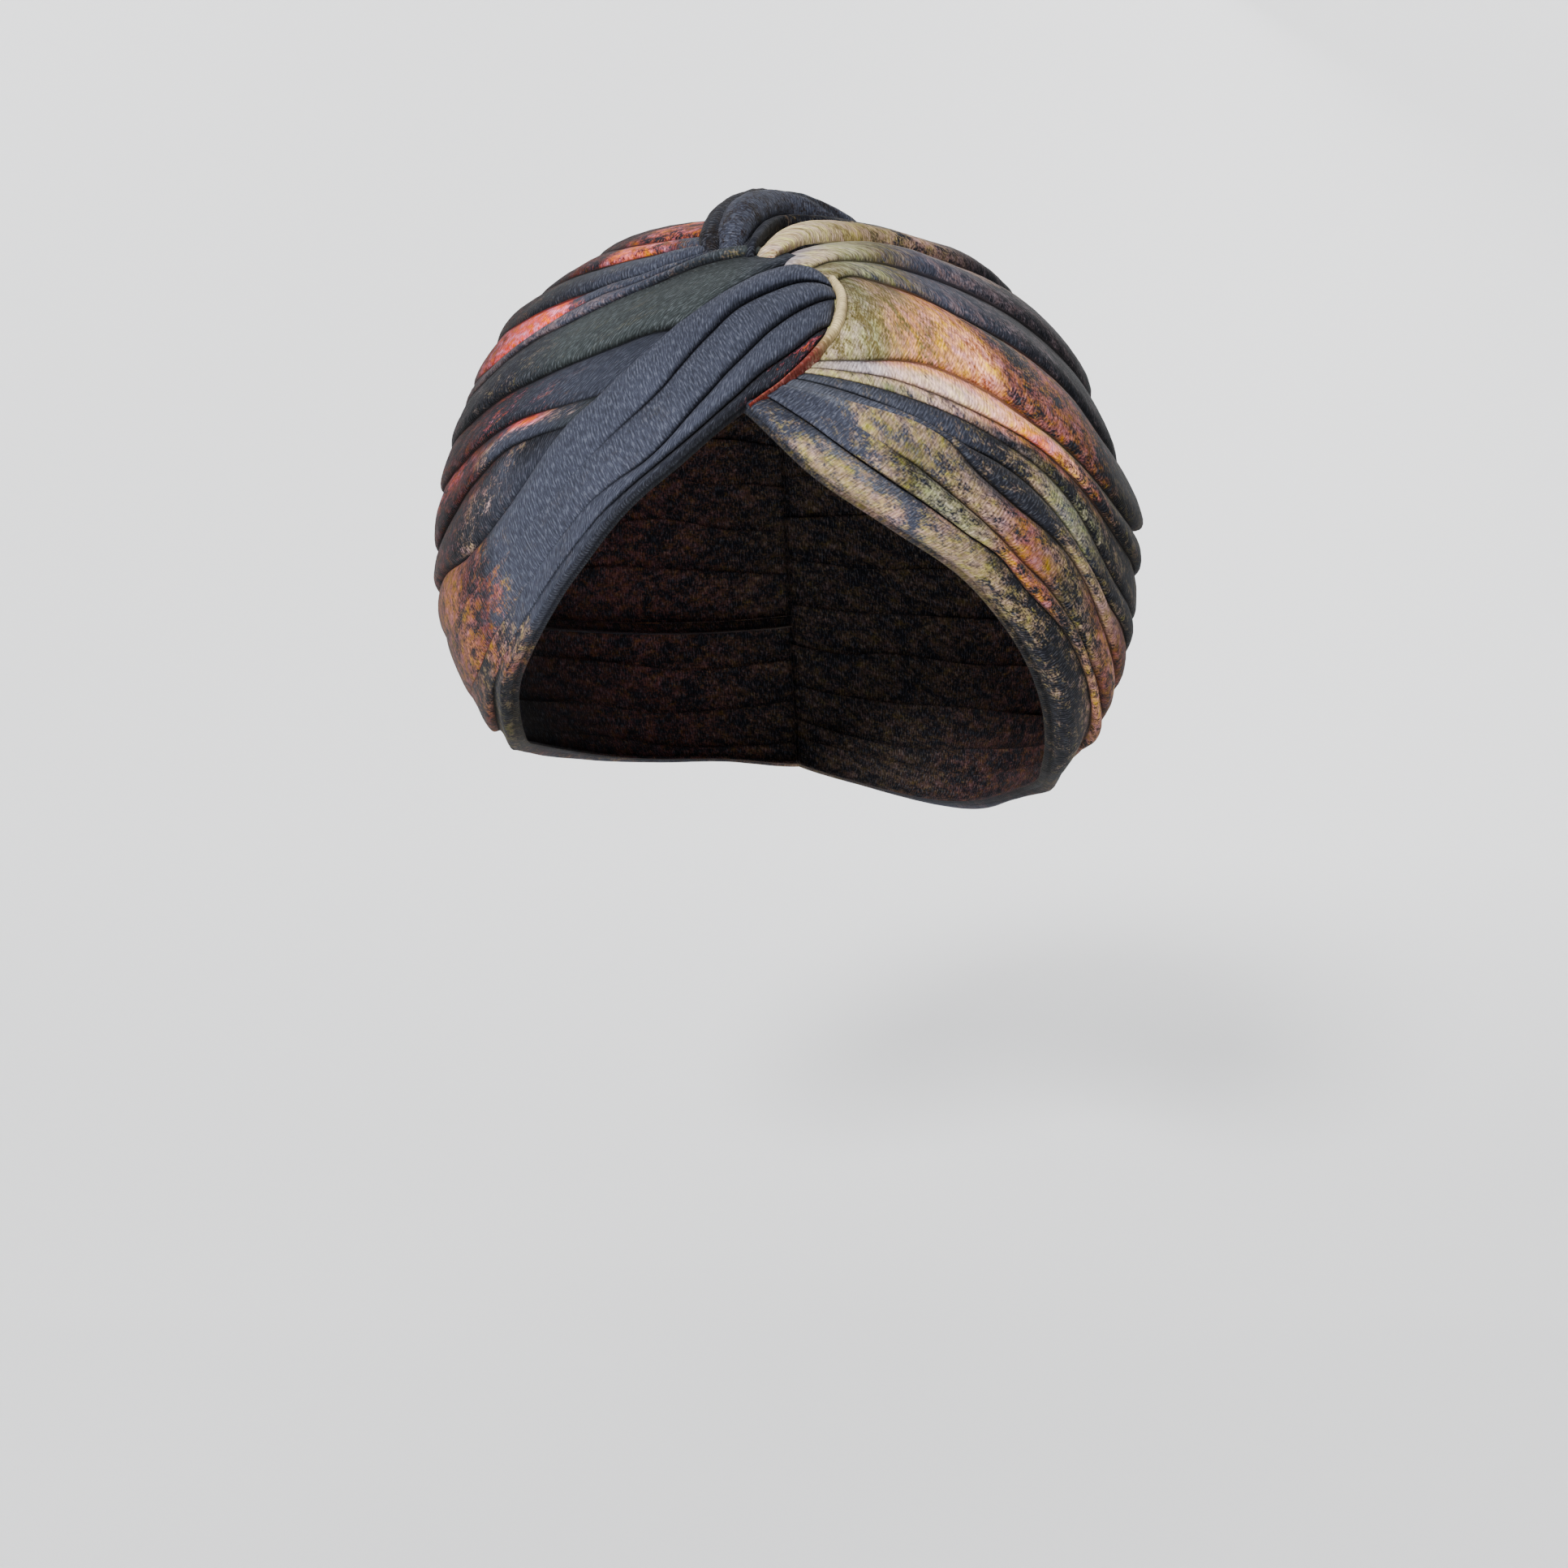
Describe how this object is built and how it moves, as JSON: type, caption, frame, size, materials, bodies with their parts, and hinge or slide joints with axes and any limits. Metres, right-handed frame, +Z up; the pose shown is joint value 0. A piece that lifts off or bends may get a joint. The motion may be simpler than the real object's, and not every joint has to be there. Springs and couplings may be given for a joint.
{
  "type": "turban hat",
  "caption": "Soft jersey turban hat in its worn shape: two draped sides meet in a front twist over an arched face opening, with folds running round to a back seam.",
  "frame": {"origin": "on the inside of the crown at its highest point, where the hat rests on the top of a head", "axes": "+Z up, -Y out of the face opening, +X to the right of the picture, which is the wearer's left"},
  "size_m": [0.1986, 0.2088, 0.1754],
  "materials": {
    "right_drape": "matte stretch jersey, sand and slate mottled print",
    "left_drape": "matte stretch jersey, dark slate with coral marks",
    "left_wrap": "matte stretch jersey, slate blue heather",
    "knot_lip": "matte stretch jersey, cream to coral turned edge",
    "twist_loop_back": "matte stretch jersey, deep slate",
    "twist_loop_front": "matte stretch jersey, deep slate"
  },
  "bodies": {
    "root": {"right_drape": "right_drape", "left_drape": "left_drape", "left_wrap": "left_wrap", "knot_lip": "knot_lip", "twist_loop_back": "twist_loop_back", "twist_loop_front": "twist_loop_front"}
  },
  "joints": []
}
